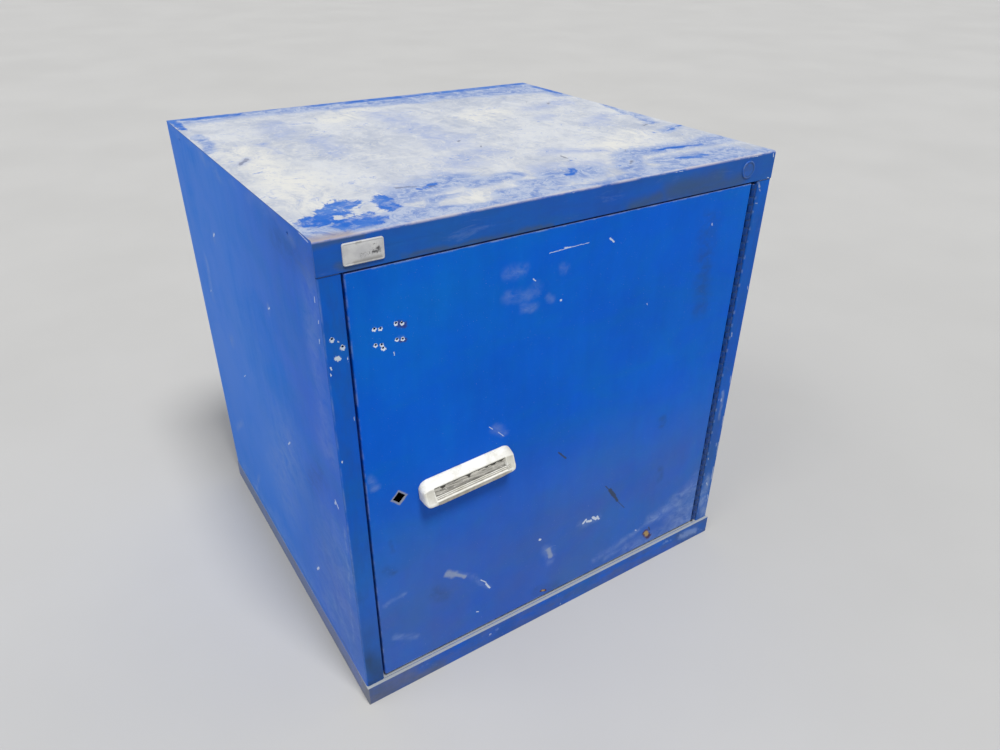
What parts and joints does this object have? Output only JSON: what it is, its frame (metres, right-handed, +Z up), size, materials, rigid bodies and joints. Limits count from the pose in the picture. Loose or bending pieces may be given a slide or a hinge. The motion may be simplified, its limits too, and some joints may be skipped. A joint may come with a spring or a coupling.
{
  "type": "storage cabinet",
  "caption": "Floor-standing sheet-steel cabinet with one door on a continuous hinge, a label-holder pull, a square lock hole, an adjustable shelf and a low plinth.",
  "frame": {"origin": "middle of the plinth's underside, under the middle of the body", "axes": "+X to the right seen from the front, +Y to the back, +Z up; the door faces -Y"},
  "size_m": [0.764, 0.727, 0.787],
  "materials": {
    "blue_paint": "semi-gloss, worn",
    "residue_paint": "matte white residue over blue paint",
    "dusty_paint": "blue paint under grey dust",
    "grey_paint": "semi-gloss",
    "zinc_steel": "zinc plated",
    "plate_white": "worn, blank",
    "pull_white": "satin, soiled",
    "label_grey": "matte, torn",
    "black_rubber": "matte",
    "catch_plastic": "satin",
    "magnet_dark": "matte ceramic magnet"
  },
  "bodies": {
    "cabinet": {"plinth": "dusty_paint", "floor_pan": "dusty_paint", "floor_stiffeners": "blue_paint", "plinth_bolts": "zinc_steel", "plinth_nuts": "zinc_steel", "side_panel_left": "blue_paint", "side_panel_right": "blue_paint", "back_panel": "blue_paint", "top_panel": "residue_paint", "top_stiffener": "blue_paint", "header_rail": "blue_paint", "sill_stop": "blue_paint", "nameplate": "plate_white", "nameplate_clips": "zinc_steel", "blanking_plug": "blue_paint", "standard_front_left": "grey_paint", "standard_front_right": "grey_paint", "standard_rear_left": "grey_paint", "standard_rear_right": "grey_paint", "shelf_clips": "zinc_steel", "shelf": "grey_paint", "hinge_leaf_frame": "blue_paint", "hinge_pin": "zinc_steel", "hinge_rivets_frame": "blue_paint", "door_bumpers": "black_rubber", "catch_housing": "catch_plastic", "catch_magnet": "magnet_dark", "catch_screws": "zinc_steel"},
    "door": {"door_skin": "blue_paint", "door_stiffener": "blue_paint", "hinge_leaf_door": "blue_paint", "hinge_rivets_door": "blue_paint", "pull_handle": "pull_white", "label_card": "label_grey", "handle_screws": "zinc_steel", "strike_plate": "zinc_steel", "strike_rivets": "zinc_steel"}
  },
  "joints": [
    {"name": "door_hinge", "type": "hinge", "parent": "cabinet", "child": "door", "pos_m": [0.3435, -0.3505, 0.4], "axis": [0, 0, 1], "range_deg": [0, 145]}
  ]
}
